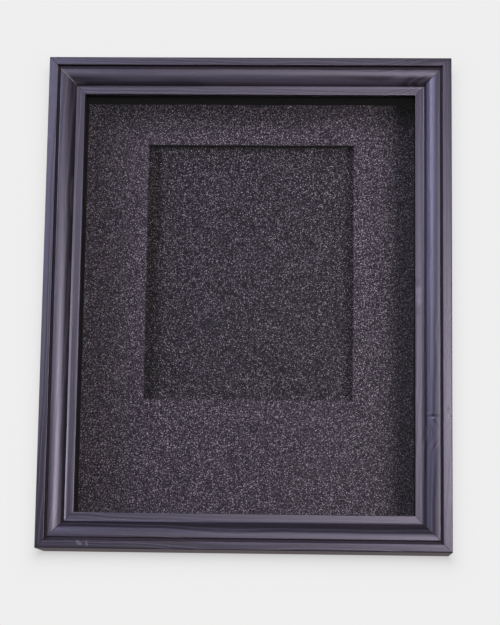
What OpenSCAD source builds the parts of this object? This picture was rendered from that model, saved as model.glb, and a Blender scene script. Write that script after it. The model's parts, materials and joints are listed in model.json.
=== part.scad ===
// Medal display frame: a deep mitred box frame with a glazed well, an aperture board raised over
// a recessed panel, a removable back held by turn buttons, and two D-ring hangers.
// Millimetres. The frame stands upright on its bottom rail: +Z is up and the front faces -Y.
// The origin is the middle of the bottom rail's underside.

/* [Insert] */
// Width of the boards and the glazing
insert_w = 203.2; // [150:0.1:420]
// Height of the boards and the glazing
insert_h = 254; // [180:0.1:520]
// Gap between a board's edge and the rebate
insert_gap = 0.3; // [0.1:0.05:0.8]

/* [Moulding] */
// Width of a rail, from the sight edge to the outside
face_w = 20.5; // [19.5:0.1:40]
// Width of the rebate behind the lip
rebate_w = 6.3; // [4:0.1:8]
// Width of the flat lip at the sight edge
lip_w = 4.4; // [2:0.1:6]
// Thickness of the lip in front of the glazing
lip_t = 4; // [2:0.1:8]
// How far the lip's face lies behind the outer band
lip_set = 6.2; // [4:0.1:9]
// Distance from the crown of the bead to the quirk
crown_back = 0.4; // [0.2:0.1:4]
// How far the crown lies behind the outer band
crown_set = 1.6; // [0.2:0.1:2.5]
// How far the bead falls from its crown to the quirk
bead_fall = 0.1; // [0.1:0.1:1]
// Width of the quirk between the bead and the outer band
quirk_w = 1.6; // [0.8:0.1:3]
// Depth of the quirk behind the outer band
quirk_d = 3.4; // [2.6:0.1:5]
// Width of the flat outer band
band_w = 5; // [2:0.1:6]
// Radius on the outer front edge
edge_r = 0.8; // [0.2:0.1:1.5]

/* [Well] */
// Thickness of the glazing
glazing_t = 2; // [1.5:0.1:4]
// Depth of the spacers, from the glazing to the aperture board
spacer_d = 17.3; // [8:0.1:40]
// How far a spacer's face lies behind the sight edge
spacer_set = 0.3; // [0:0.1:2]

/* [Boards] */
// Thickness of the aperture board
board_t = 1.4; // [0.8:0.1:3]
// Border of the aperture board left of the aperture
border_left = 41.9; // [15:0.1:60]
// Border of the aperture board right of the aperture
border_right = 40.9; // [15:0.1:60]
// Border of the aperture board above the aperture
border_top = 30.2; // [15:0.1:60]
// Border of the aperture board below the aperture
border_bottom = 73.2; // [15:0.1:90]
// Thickness of the foam risers
riser_t = 5; // [3:0.1:10]
// How far the risers stay back from the aperture's edge
riser_back = 0.4; // [0:0.1:3]
// Thickness of the recess panel
panel_t = 1.4; // [0.8:0.1:3]
// Thickness of the backing board
backing_t = 3; // [2:0.1:6]
// How far the backing board lies below the rails' rear faces
backing_set = 0.2; // [0.1:0.05:0.6]

/* [Turn buttons] */
// Thickness of a button
button_t = 1.2; // [0.8:0.1:2]
// Radius of a button's round head
button_r = 4.4; // [3.5:0.1:5]
// Radius of a button's nose
nose_r = 2.3; // [1.5:0.1:3]
// How far a closed button's nose reaches over the backing board
nose_over = 6.1; // [3:0.1:10]
// Distance from the rebate to the side of an open button
button_edge = 1.5; // [0.5:0.1:3]
// Distance from the base up to the pivots of the lower buttons
button_up = 62; // [40:1:80]
// Distance from the top down to the pivots of the upper buttons
button_down = 107; // [95:1:120]
// Gap over and under a button
button_gap = 0.1; // [0.05:0.05:0.2]

/* [Screws] */
// Radius of a screw's shank
screw_r = 1.5; // [1:0.1:2]
// Radius of a screw's head
head_r = 2.9; // [2.2:0.1:3.5]
// Height of a screw's head
head_h = 1.7; // [1:0.1:2.5]
// How far a screw goes into the rail
screw_in = 11; // [6:0.5:14]
// Width of a slot in the cross recess
recess_slot = 0.7; // [0.4:0.1:1]
// Radial gap between a button's hole and its screw
pivot_gap = 0.08; // [0.02:0.02:0.1]

/* [Hangers] */
// Distance from the top down to a ring's pivot
hanger_down = 45; // [25:1:60]
// Thickness of a strap
strap_t = 0.8; // [0.5:0.1:1]
// Width of a strap
strap_w = 8.6; // [6:0.1:9]
// Distance from a hanging ring to the head of the strap's screw
ring_clear = 2.2; // [1:0.1:6]
// Distance from the strap's screw to the strap's lower end
strap_end = 4.4; // [3.5:0.1:8]
// Radius of a ring's wire
wire_r = 0.9; // [0.6:0.1:1]
// Length of a ring's straight arms
ring_arm = 5.3; // [3:0.1:9]
// Radial gap between the wire and the strap's loop
wire_gap = 0.08; // [0.02:0.02:0.1]
// How far the strap's loop stands off the rail
loop_lift = 0.2; // [0.1:0.05:0.5]

/* [Corners and wall] */
// Length of a V-nail's wing
nail_wing = 4.5; // [3:0.1:6]
// Thickness of a V-nail
nail_t = 0.5; // [0.3:0.05:0.8]
// How far a V-nail goes into the rails
nail_in = 10; // [6:0.5:14]
// Distance from the rebate to the inner V-nails
nail_inside = 1.2; // [0.8:0.1:2]
// Distance from the outside of the frame to the points of the outer V-nails
nail_outside = 2.5; // [1:0.1:3]
// Gap round a V-nail in its slot
nail_gap = 0.05; // [0.02:0.01:0.1]
// Radius of a wall bumper at its base
bumper_r = 4.5; // [3:0.1:6]
// Height of a wall bumper
bumper_h = 3.6; // [2:0.1:4.5]
// Distance from the side of the frame to a bumper's middle
bumper_in = 30; // [26:0.5:60]

/* [Hidden] */
$fn = 48;
curve_steps = 12; // straight pieces in each curve of the moulding and of a button's outline
past = 1; // how far a cut runs past what it cuts

// Colours
stain = [0.20, 0.19, 0.22];
black_card = [0.06, 0.06, 0.07];
glitter = [0.29, 0.27, 0.31];
clear_sheet = [0.8, 0.9, 0.95, 0.3];
fibreboard = [0.60, 0.44, 0.29];
zinc = [0.72, 0.73, 0.74];
rubber = [0.12, 0.12, 0.12];

// Openings and overall size
rebate_open_w = insert_w + 2 * insert_gap;
rebate_open_h = insert_h + 2 * insert_gap;
sight_w = rebate_open_w - 2 * rebate_w;
sight_h = rebate_open_h - 2 * rebate_w;
frame_w = sight_w + 2 * face_w;
frame_h = sight_h + 2 * face_w;
mid_z = frame_h / 2;

// Depth of the stack, from the outer band's face to the rails' rear faces
frame_d = lip_set + lip_t + glazing_t + spacer_d + board_t + riser_t + panel_t + backing_t + backing_set;
front_y = -frame_d / 2;
rear_y = frame_d / 2;
glazing_y = front_y + lip_set + lip_t;
spacer_y = glazing_y + glazing_t;
board_y = spacer_y + spacer_d;
riser_y = board_y + board_t;
panel_y = riser_y + riser_t;
backing_y = panel_y + panel_t;

// Moulding: the quirk's two sides and the bead's crown, measured from the sight edge
quirk_out = face_w - band_w;
quirk_in = quirk_out - quirk_w;
crown_at = quirk_in - crown_back;

// Spacers: thickness from the board's edge to just behind the sight edge
spacer_t = rebate_w - insert_gap - spacer_set;

// Aperture: its size, and its middle measured from the frame's middle
aperture_w = insert_w - border_left - border_right;
aperture_h = insert_h - border_top - border_bottom;
aperture_x = (border_left - border_right) / 2;
aperture_z = (border_bottom - border_top) / 2;

// Edges of the space inside the risers, measured from the frame's middle
space_left = aperture_x - aperture_w / 2 - riser_back;
space_right = aperture_x + aperture_w / 2 + riser_back;
space_low = aperture_z - aperture_h / 2 - riser_back;
space_high = aperture_z + aperture_h / 2 + riser_back;

// Hangers: the loop's radii and the pivot's height over the rails' rear faces
loop_in_r = wire_r + wire_gap;
loop_out_r = loop_in_r + strap_t;
ring_y = rear_y + loop_lift + loop_out_r;
ring_half = strap_w / 2 + wire_gap + wire_r;
ring_drop = ring_arm + ring_half;
strap_screw = ring_drop + wire_r + ring_clear + head_r;
strap_len = strap_screw + strap_end;
hanger_x = (sight_w + rebate_w + face_w) / 2;
hanger_z = frame_h - hanger_down;

// Turn buttons: place of the pivot, and how far the nose is turned from straight up
// (clockwise seen from the front) when the button lies open along its rail
pivot_at = rebate_w + button_edge + button_r;
nose_reach = pivot_at - rebate_w - insert_gap + nose_over - nose_r;
side_x = sight_w / 2 + pivot_at;
BUTTONS = [
    [-side_x, frame_h - button_down, 180], [-side_x, button_up, 180],
    [side_x, frame_h - button_down, 180], [side_x, button_up, 180],
    [0, mid_z + sight_h / 2 + pivot_at, 90], [0, mid_z - sight_h / 2 - pivot_at, -90]
];

// A block from its middle in x and z, its front in y, and its size
module slab(middle_x, from_y, middle_z, size) {
    translate([middle_x - size.x / 2, from_y, middle_z - size.z / 2]) cube(size);
}

// Moulding section, as [distance from the sight edge, depth behind the outer band]
function moulding_section() = concat(
    [[0, lip_set]],
    [for (i = [0:curve_steps])
        let (a = 90 * i / curve_steps)
        [crown_at - (crown_at - lip_w) * cos(a), lip_set - (lip_set - crown_set) * sin(a)]],
    [for (i = [1:curve_steps / 2])
        let (s = 2 * i / curve_steps)
        [crown_at + (quirk_in - crown_at) * s, crown_set + bead_fall * s * s]],
    [[quirk_in, quirk_d], [quirk_out, quirk_d], [quirk_out, 0]],
    [for (i = [0:curve_steps / 2])
        let (a = 180 * i / curve_steps)
        [face_w - edge_r + edge_r * sin(a), edge_r - edge_r * cos(a)]],
    [[face_w, frame_d], [rebate_w, frame_d], [rebate_w, lip_set + lip_t], [0, lip_set + lip_t]]
);

// A mitred rail lying along x, with its sight edge at z = 0 and its outside at z = -face_w
module mitred_rail(sight_len) {
    half = sight_len / 2;
    intersection() {
        rotate([90, 0, 90])
            linear_extrude(sight_len + 2 * face_w, center = true)
                polygon([for (p = moulding_section()) [front_y + p[1], -p[0]]]);
        rotate([90, 0, 0])
            linear_extrude(frame_d + 2 * past, center = true)
                polygon([
                    [-half + past, past], [half - past, past],
                    [half + face_w + past, -face_w - past], [-half - face_w - past, -face_w - past]
                ]);
    }
}

// One wing of a V-nail that lies along -x from its point at the origin, grown by a gap.
// A slot runs on past the point and out of the rear face.
module wing(gap, run_on) {
    translate([-nail_wing - gap, -nail_in - gap, -nail_t - gap])
        cube([nail_wing + gap + run_on, nail_in + gap + run_on, nail_t + 2 * gap]);
}

// Puts its child at the point of every V-nail, turned so that -x and -z run away from the corner
module at_nails() {
    for (sx = [0, 1], sz = [0, 1], at = [rebate_w + nail_inside + nail_wing, face_w - nail_outside])
        translate([0, rear_y, mid_z])
            mirror([sx, 0, 0])
                mirror([0, 0, sz])
                    translate([sight_w / 2 + at, 0, sight_h / 2 + at])
                        children();
}

// Pilot holes of every screw that goes into a rail
module screw_bores() {
    for (b = BUTTONS)
        translate([b[0], rear_y, b[1]]) bore(screw_in, screw_r);
    for (side = [-1, 1])
        translate([side * hanger_x, rear_y, hanger_z - strap_screw]) bore(screw_in, screw_r);
}

// A hole that goes in along -y from the origin, open towards +y
module bore(depth, radius) {
    translate([0, -depth, 0]) rotate([-90, 0, 0]) cylinder(h = depth + past, r = radius);
}

// What is cut out of the top and bottom rails
module level_rail_cuts() {
    at_nails() wing(nail_gap, past);
    screw_bores();
}

// What is cut out of the side rails
module side_rail_cuts() {
    at_nails() mirror([1, 0, -1]) wing(nail_gap, past);
    screw_bores();
}

module top_rail() {
    color(stain) difference() {
        translate([0, 0, frame_h - face_w]) rotate([0, 180, 0]) mitred_rail(sight_w);
        level_rail_cuts();
    }
}

module bottom_rail() {
    color(stain) difference() {
        translate([0, 0, face_w]) mitred_rail(sight_w);
        level_rail_cuts();
    }
}

module left_rail() {
    color(stain) difference() {
        translate([-sight_w / 2, 0, mid_z]) rotate([0, 90, 0]) mitred_rail(sight_h);
        side_rail_cuts();
    }
}

module right_rail() {
    color(stain) difference() {
        translate([sight_w / 2, 0, mid_z]) rotate([0, -90, 0]) mitred_rail(sight_h);
        side_rail_cuts();
    }
}

module corner_v_nails() {
    color(zinc) at_nails() {
        wing(0, 0);
        mirror([1, 0, -1]) wing(0, 0);
    }
}

module glazing() {
    color(clear_sheet) slab(0, glazing_y, mid_z, [insert_w, glazing_t, insert_h]);
}

// A spacer along x, above (1) or below (-1) the middle, from one side of the rebate to the other
module long_spacer(side) {
    color(black_card)
        slab(0, spacer_y, mid_z + side * (insert_h - spacer_t) / 2, [insert_w, spacer_d, spacer_t]);
}

// A spacer along z, right (1) or left (-1) of the middle, between the long ones
module short_spacer(side) {
    color(black_card)
        slab(
            side * (insert_w - spacer_t) / 2, spacer_y, mid_z,
            [spacer_t, spacer_d, insert_h - 2 * spacer_t]
        );
}

module top_spacer() { long_spacer(1); }
module bottom_spacer() { long_spacer(-1); }
module left_spacer() { short_spacer(-1); }
module right_spacer() { short_spacer(1); }

module aperture_board() {
    color(glitter) difference() {
        slab(0, board_y, mid_z, [insert_w, board_t, insert_h]);
        slab(aperture_x, board_y - past, mid_z + aperture_z, [aperture_w, board_t + 2 * past, aperture_h]);
    }
}

// A foam strip between two x and two z, both measured from the frame's middle
module riser(x0, x1, z0, z1) {
    color(black_card) translate([x0, riser_y, mid_z + z0]) cube([x1 - x0, riser_t, z1 - z0]);
}

module riser_top() { riser(-insert_w / 2, insert_w / 2, space_high, insert_h / 2); }
module riser_bottom() { riser(-insert_w / 2, insert_w / 2, -insert_h / 2, space_low); }
module riser_left() { riser(-insert_w / 2, space_left, space_low, space_high); }
module riser_right() { riser(space_right, insert_w / 2, space_low, space_high); }

module recess_panel() {
    color(glitter) slab(0, panel_y, mid_z, [insert_w, panel_t, insert_h]);
}

module backing_board() {
    color(fibreboard) slab(0, backing_y, mid_z, [insert_w, backing_t, insert_h]);
}

// A flat turn button with its nose up: a round head, a round nose and their tangents
function button_outline() =
    let (lean = acos((button_r - nose_r) / nose_reach))
    concat(
        [for (i = [0:2 * curve_steps])
            let (a = lean + (180 - lean) * i / curve_steps)
            button_r * [sin(a), cos(a)]],
        [for (i = [0:curve_steps])
            let (a = lean * (2 * i / curve_steps - 1))
            [0, nose_reach] + nose_r * [sin(a), cos(a)]]
    );

module turn_button(place) {
    color(zinc)
        translate([place[0], rear_y + button_gap, place[1]])
            rotate([0, place[2], 0])
                difference() {
                    rotate([90, 0, 0])
                        translate([0, 0, -button_t])
                            linear_extrude(button_t)
                                polygon(button_outline());
                    translate([0, -past, 0])
                        rotate([-90, 0, 0])
                            cylinder(h = button_t + 2 * past, r = screw_r + pivot_gap);
                }
}

module turn_button_left_upper() { turn_button(BUTTONS[0]); }
module turn_button_left_lower() { turn_button(BUTTONS[1]); }
module turn_button_right_upper() { turn_button(BUTTONS[2]); }
module turn_button_right_lower() { turn_button(BUTTONS[3]); }
module turn_button_top() { turn_button(BUTTONS[4]); }
module turn_button_bottom() { turn_button(BUTTONS[5]); }

// A cross-recessed screw along y: its shank goes in along -y, and its head sits on a plate
module screw(plate_top) {
    difference() {
        union() {
            translate([0, -screw_in, 0])
                rotate([-90, 0, 0])
                    cylinder(h = screw_in + plate_top + head_h / 4, r = screw_r);
            translate([0, plate_top, 0])
                rotate([-90, 0, 0])
                    cylinder(h = head_h, r = head_r);
        }
        for (turn = [0, 90])
            translate([0, plate_top + head_h / 2, 0])
                rotate([0, turn, 0])
                    translate([-recess_slot / 2, 0, -head_r / 2])
                        cube([recess_slot, head_h, head_r]);
    }
}

module button_screws() {
    color(zinc)
        for (b = BUTTONS)
            translate([b[0], rear_y, b[1]]) screw(button_t + 2 * button_gap);
}

// A strap: a plate on the rail with a hole for its screw, and a loop round the ring's bar
module hanger_strap(side) {
    color(zinc)
        translate([side * hanger_x, 0, hanger_z])
            difference() {
                union() {
                    translate([-strap_w / 2, rear_y, -strap_len])
                        cube([strap_w, strap_t, strap_len]);
                    translate([-strap_w / 2, rear_y, -loop_out_r])
                        cube([strap_w, ring_y - rear_y, loop_out_r]);
                    translate([-strap_w / 2, ring_y, 0])
                        rotate([0, 90, 0])
                            cylinder(h = strap_w, r = loop_out_r);
                }
                translate([-strap_w / 2 - past, ring_y, 0])
                    rotate([0, 90, 0])
                        cylinder(h = strap_w + 2 * past, r = loop_in_r);
                translate([0, rear_y + strap_t, -strap_screw]) bore(strap_t + past, screw_r);
            }
}

module hanger_strap_left() { hanger_strap(-1); }
module hanger_strap_right() { hanger_strap(1); }

// A D-ring that hangs from its bar: the bar, two arms and a half-round bow, all of one wire
module hanger_ring(side) {
    color(zinc)
        translate([side * hanger_x, ring_y, hanger_z]) {
            translate([-ring_half, 0, 0]) rotate([0, 90, 0]) cylinder(h = 2 * ring_half, r = wire_r);
            for (s = [-1, 1]) {
                translate([s * ring_half, 0, 0]) sphere(r = wire_r);
                translate([s * ring_half, 0, -ring_arm]) cylinder(h = ring_arm, r = wire_r);
            }
            translate([0, 0, -ring_arm])
                rotate([90, 0, 0])
                    rotate([0, 0, 180])
                        rotate_extrude(angle = 180)
                            translate([ring_half, 0]) circle(r = wire_r);
        }
}

module hanger_ring_left() { hanger_ring(-1); }
module hanger_ring_right() { hanger_ring(1); }

module hanger_screws() {
    color(zinc)
        for (side = [-1, 1])
            translate([side * hanger_x, rear_y, hanger_z - strap_screw]) screw(strap_t);
}

// Rubber domes: caps of a sphere that touch the bottom rail's rear face near the corners
module wall_bumpers() {
    cap_r = (bumper_r * bumper_r + bumper_h * bumper_h) / (2 * bumper_h);
    color(rubber)
        for (side = [-1, 1])
            translate([side * (frame_w / 2 - bumper_in), rear_y, (face_w - rebate_w) / 2])
                intersection() {
                    translate([0, bumper_h - cap_r, 0]) sphere(r = cap_r);
                    translate([-cap_r, 0, -cap_r]) cube(2 * cap_r);
                }
}

top_rail();
bottom_rail();
left_rail();
right_rail();
corner_v_nails();
glazing();
top_spacer();
bottom_spacer();
left_spacer();
right_spacer();
aperture_board();
riser_top();
riser_bottom();
riser_left();
riser_right();
recess_panel();
backing_board();
turn_button_left_upper();
turn_button_left_lower();
turn_button_right_upper();
turn_button_right_lower();
turn_button_top();
turn_button_bottom();
button_screws();
hanger_strap_left();
hanger_strap_right();
hanger_ring_left();
hanger_ring_right();
hanger_screws();
wall_bumpers();
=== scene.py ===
"""Looks of a medal display frame: its finishes, mouldings, boards, fittings and studio.

Everything is in metres in the CAD model's frame: +X to the right, +Z up, and the front faces -Y.
Sizes that belong to one piece are fields of its class, in millimetres.
"""

import json
import logging
import math
from dataclasses import dataclass, field
from enum import Enum

import bmesh
import bpy
from bmesh.types import BMEdge, BMesh, BMFace, BMVert
from bpy.types import Collection, Material, Node, NodeSocket, NodeTree, Object
from mathutils import Euler, Matrix, Vector


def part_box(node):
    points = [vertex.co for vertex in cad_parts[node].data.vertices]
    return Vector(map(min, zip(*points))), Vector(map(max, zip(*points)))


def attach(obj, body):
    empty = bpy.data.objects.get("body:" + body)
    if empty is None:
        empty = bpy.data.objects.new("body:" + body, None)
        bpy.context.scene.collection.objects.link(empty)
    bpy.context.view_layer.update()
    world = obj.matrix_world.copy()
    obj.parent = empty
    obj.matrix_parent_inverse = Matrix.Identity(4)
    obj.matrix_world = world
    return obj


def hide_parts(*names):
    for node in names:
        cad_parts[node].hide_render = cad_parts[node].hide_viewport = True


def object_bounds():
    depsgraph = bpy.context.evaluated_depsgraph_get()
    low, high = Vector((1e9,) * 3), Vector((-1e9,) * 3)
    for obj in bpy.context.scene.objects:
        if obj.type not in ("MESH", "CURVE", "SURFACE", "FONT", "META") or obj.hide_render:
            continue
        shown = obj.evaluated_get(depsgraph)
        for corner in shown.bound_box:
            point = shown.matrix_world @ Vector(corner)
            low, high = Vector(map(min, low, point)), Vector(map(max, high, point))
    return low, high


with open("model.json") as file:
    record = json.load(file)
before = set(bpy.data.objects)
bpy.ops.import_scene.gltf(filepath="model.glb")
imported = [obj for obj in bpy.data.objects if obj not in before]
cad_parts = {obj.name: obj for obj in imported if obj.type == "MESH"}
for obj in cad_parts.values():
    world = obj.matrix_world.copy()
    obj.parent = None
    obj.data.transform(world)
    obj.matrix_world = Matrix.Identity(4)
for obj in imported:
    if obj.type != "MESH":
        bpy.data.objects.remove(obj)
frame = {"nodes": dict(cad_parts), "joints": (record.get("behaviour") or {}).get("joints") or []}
CAD_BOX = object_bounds()

MM = 0.001
# Points closer than this, in metres, are one
WELD = 1e-7
# Edges that turn less than the first shade smoothly, and those that turn more than the second are rounded
SMOOTH_BELOW = math.radians(40)
SHARP_ABOVE = math.radians(50)
# The way from the front to the back, which screws, buttons and bumpers are round about
INWARD = Vector((0, 1, 0))
LOG = logging.getLogger("display_frame")

Settings = dict[str | int, object]
Links = dict[str | int, NodeSocket]
# A vertex, an edge or a face of a mesh under work
Shape = BMVert | BMEdge | BMFace
# Three sizes, a point or a direction, and a list of places on a section
Triple = tuple[float, float, float]
Line = tuple[tuple[float, float], ...]


class Side(Enum):
    """The four rails, with how far each is turned from the top one, clockwise seen from the front."""

    TOP = 0
    RIGHT = 90
    BOTTOM = 180
    LEFT = 270


class Grain(Enum):
    """Which way a rail's grain runs, as the turn about Y that lays that direction along X."""

    LEVEL = 0
    UPRIGHT = 90


class RailFace(Enum):
    """The surfaces of a rail that are finished apart, with the number of the material of each."""

    STAINED = 0
    BARE = 1
    FILLED = 2
    POOLED = 3
    SIDE = 4


class CardFace(Enum):
    """The surfaces of a board that are finished apart, with the number of the material of each."""

    FRONT = 0
    EDGE = 1
    REAR = 2


class Lit(Enum):
    """What a lamp lights."""

    RAILS = "rails"
    BOARD = "board"
    PANEL = "panel"
    ALL = "all"


def linear(colour: str) -> tuple[float, float, float, float]:
    """Turns an sRGB colour into the linear one that shaders take.

    Args:
        colour: six hex digits.

    Returns:
        Linear red, green, blue and an alpha of 1.
    """
    shares = [int(colour[i:i + 2], 16) / 255 for i in (0, 2, 4)]
    lit = [s / 12.92 if s <= 0.04045 else ((s + 0.055) / 1.055) ** 2.4 for s in shares]
    return (*lit, 1.0)


def new_material(name: str) -> Material:
    """Starts a material that has nodes.

    Args:
        name: the material's name.

    Returns:
        The material.
    """
    made = bpy.data.materials.new(name)
    made.use_nodes = True
    return made


def fill(tree: NodeTree, node: Node, settings: Settings | None = None, links: Links | None = None) -> None:
    """Gives a node its settings and links.

    Args:
        tree: the tree that the node is in.
        node: the node.
        settings: properties by name, input values by socket, and "stops" of a colour ramp.
        links: the output that feeds each input.
    """
    for key, value in (settings or {}).items():
        if key == "stops":
            ramp = node.color_ramp.elements
            while len(ramp) < len(value):
                ramp.new(0.5)
            for stop, (place, colour) in zip(ramp, value):
                stop.position = place
                stop.color = linear(colour)
        elif isinstance(key, str) and hasattr(node, key):
            setattr(node, key, value)
        else:
            node.inputs[key].default_value = value
    for key, source in (links or {}).items():
        tree.links.new(source, node.inputs[key])


def add_node(
    tree: NodeTree, kind: str, settings: Settings | None = None, links: Links | None = None,
    output: str | int = 0,
) -> NodeSocket:
    """Adds a shader node with its settings and links.

    Args:
        tree: the tree that gets the node.
        kind: the node's type, without its ShaderNode prefix.
        settings: what fill takes.
        links: what fill takes.
        output: which of the node's outputs is wanted.

    Returns:
        That output.
    """
    node = tree.nodes.new("ShaderNode" + kind)
    fill(tree, node, settings, links)
    return node.outputs[output]


@dataclass(frozen=True)
class Finish:
    """A real material and how its surface was made: one material with one Principled shader."""

    name: str

    def material(self) -> Material:
        """Builds the finish.

        Returns:
            The material, named for the finish.
        """
        made = new_material(self.name)
        tree = made.node_tree
        place = add_node(tree, "TexCoord", output="Object")
        self.dress(tree, tree.nodes["Principled BSDF"], place)
        return made

    def dress(self, tree: NodeTree, shader: Node, place: NodeSocket) -> None:
        """Adds the finish's patterns.

        Args:
            tree: the material's nodes.
            shader: its Principled shader.
            place: Object coordinates, in metres.
        """
        raise NotImplementedError


@dataclass(frozen=True)
class Spot:
    """A place on a rail that differs from the rest, in millimetres of the CAD model's frame."""

    x: float
    y: float
    z: float
    along: float = 16.0
    across: float = 7.0
    # How many rings a knot there pushes aside
    rings: float = 2.2

    def reach(self, tree: NodeTree, place: NodeSocket, grain: Grain) -> NodeSocket:
        """Measures how far a point is from the spot.

        Args:
            tree: the material's nodes.
            place: Object coordinates.
            grain: which way the rail's grain runs.

        Returns:
            The distance, 0 in the middle and 1 at the spot's edge.
        """
        spread = [self.along, self.across, self.across]
        if grain is Grain.UPRIGHT:
            spread.reverse()
        middle = (self.x * MM, self.y * MM, self.z * MM)
        off = add_node(tree, "VectorMath", {"operation": "SUBTRACT", 1: middle}, {0: place})
        near = add_node(tree, "VectorMath", {"operation": "DIVIDE", 1: [s * MM for s in spread]}, {0: off})
        return add_node(tree, "VectorMath", {"operation": "LENGTH"}, {0: near}, "Value")


@dataclass(frozen=True)
class Mark(Spot):
    """A stain, scuff, cloud or scar on a rail, soft at its edge or broken into patches."""

    colour: str = "77727c"
    weight: float = 1.0
    patch_mm: float = 1.5
    # How soft its edge is, how much the patches break it up, and how far it stands out or in
    soft: float = 0.9
    broken: float = 0.0
    raised_mm: float = 0.0

    def mask(self, tree: NodeTree, place: NodeSocket, grain: Grain) -> NodeSocket:
        """Measures how much the mark covers a point.

        Args:
            tree: the material's nodes.
            place: Object coordinates.
            grain: which way the rail's grain runs.

        Returns:
            The cover, from 0 to the mark's weight.
        """
        size = 1 / (self.patch_mm * MM)
        patch = add_node(tree, "TexNoise", {"Scale": size, "Detail": 1.0}, {"Vector": place})
        uneven = add_node(
            tree, "Math", {"operation": "MULTIPLY_ADD", 1: self.broken, 2: 1 - self.broken / 2}, {0: patch}
        )
        away = self.reach(tree, place, grain)
        left = add_node(tree, "Math", {"operation": "SUBTRACT"}, {0: uneven, 1: away})
        edge = {"interpolation_type": "SMOOTHSTEP", "From Max": self.soft, "To Max": self.weight}
        return add_node(tree, "MapRange", edge, {"Value": left})


@dataclass(frozen=True)
class Pine(Finish):
    """Planed pine: growth rings that wander along the rail, knots that part them, and fine fibres."""

    grain: Grain = Grain.LEVEL
    shift: float = 0.0
    knots: tuple[Spot, ...] = ()
    marks: tuple[Mark, ...] = ()
    early: str = "231f27"
    late: str = "3b3642"
    gloss: str = "ffffff"
    roughness: float = 0.29
    roughness_swing: float = 0.07
    shine: float = 0.5
    ring_mm: float = 2.4
    # The rings wander by this much, one swing in the length and the widths that follow
    wander_mm: float = 3.2
    swing_mm: Triple = (90.0, 30.0, 30.0)
    # The face cuts the rings at a slant, so depth moves them as much as width does
    slant: Triple = (0.012, 0.62, 0.78)
    # A knot parts the rings out to this many times its size
    knot_reach: float = 1.6
    # Good and lean years: no two rings are equally wide
    lean_years: float = 2.4
    fibre_mm: float = 0.5
    fibre_long_mm: float = 35.0
    relief_mm: float = 0.06

    def figure(self, tree: NodeTree, place: NodeSocket) -> tuple[NodeSocket, NodeSocket]:
        """Draws the wood's figure.

        Args:
            tree: the material's nodes.
            place: Object coordinates.

        Returns:
            The rings, bright at the late wood, and the fibres, both from 0 to 1.
        """
        lie = {"Rotation": (0, math.radians(self.grain.value), 0), "Location": (self.shift, 0, 0)}
        turned = add_node(tree, "Mapping", lie, {"Vector": place})
        slack = [1 / (s * MM) for s in self.swing_mm]
        slow = add_node(tree, "Mapping", {"Scale": slack}, {"Vector": turned})
        sway = add_node(tree, "TexNoise", {"Scale": 1.0, "Detail": 2.0}, {"Vector": slow})
        across = add_node(
            tree, "VectorMath", {"operation": "DOT_PRODUCT", 1: self.slant}, {0: turned}, "Value"
        )
        level = add_node(
            tree, "Math", {"operation": "MULTIPLY_ADD", 1: 2 * self.wander_mm * MM}, {0: sway, 2: across}
        )
        count = add_node(tree, "Math", {"operation": "DIVIDE", 1: self.ring_mm * MM}, {0: level})
        for knot in self.knots:
            fall = {"From Max": self.knot_reach, "To Min": knot.rings, "To Max": 0.0}
            swell = add_node(
                tree, "MapRange", {"interpolation_type": "SMOOTHERSTEP", **fall},
                {"Value": knot.reach(tree, place, self.grain)},
            )
            count = add_node(tree, "Math", {"operation": "ADD"}, {0: count, 1: swell})
        by_ring = {"noise_dimensions": "1D", "Scale": 0.6, "Detail": 1.0}
        years = add_node(tree, "TexNoise", by_ring, {"W": count})
        uneven = add_node(
            tree, "Math", {"operation": "MULTIPLY_ADD", 1: self.lean_years}, {0: years, 2: count}
        )
        turn = add_node(tree, "Math", {"operation": "FRACT"}, {0: uneven})
        stops = [(0.0, "404040"), (0.5, "606060"), (0.86, "ffffff"), (1.0, "505050")]
        rings = add_node(tree, "ValToRGB", {"stops": stops}, {"Fac": turn})
        thin = 1 / (self.fibre_mm * MM)
        fine = add_node(
            tree, "Mapping", {"Scale": (1 / (self.fibre_long_mm * MM), thin, thin)}, {"Vector": turned}
        )
        fibres = add_node(
            tree, "TexNoise", {"Scale": 1.0, "Detail": 3.0, "Roughness": 0.6}, {"Vector": fine}
        )
        return rings, fibres

    def dress(self, tree: NodeTree, shader: Node, place: NodeSocket) -> None:
        """Colours the figure and lets it vary the sheen and the relief.

        Args:
            tree: the material's nodes.
            shader: its Principled shader.
            place: Object coordinates.
        """
        rings, fibres = self.figure(tree, place)
        mixed = add_node(tree, "Mix", {"data_type": "FLOAT", 0: 0.5}, {2: rings, 3: fibres})
        stops = [(0.22, self.early), (0.8, self.late)]
        shade = add_node(tree, "ValToRGB", {"stops": stops}, {"Fac": mixed})
        relief = add_node(
            tree, "Bump", {"Strength": 0.45, "Distance": self.relief_mm * MM}, {"Height": mixed}
        )
        for mark in self.marks:
            mask = mark.mask(tree, place, self.grain)
            shade = add_node(
                tree, "Mix", {"data_type": "RGBA", 7: linear(mark.colour)}, {0: mask, 6: shade}, 2
            )
            if mark.raised_mm:
                step = {"Strength": 1.0, "Distance": mark.raised_mm * MM}
                relief = add_node(tree, "Bump", step, {"Height": mask, "Normal": relief})
        low, high = self.roughness - self.roughness_swing, self.roughness + self.roughness_swing
        sheen = add_node(tree, "MapRange", {"To Min": low, "To Max": high}, {"Value": mixed})
        fill(
            tree, shader, {"Specular Tint": linear(self.gloss), "Specular IOR Level": self.shine},
            {"Base Color": shade, "Roughness": sheen, "Normal": relief},
        )


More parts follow.
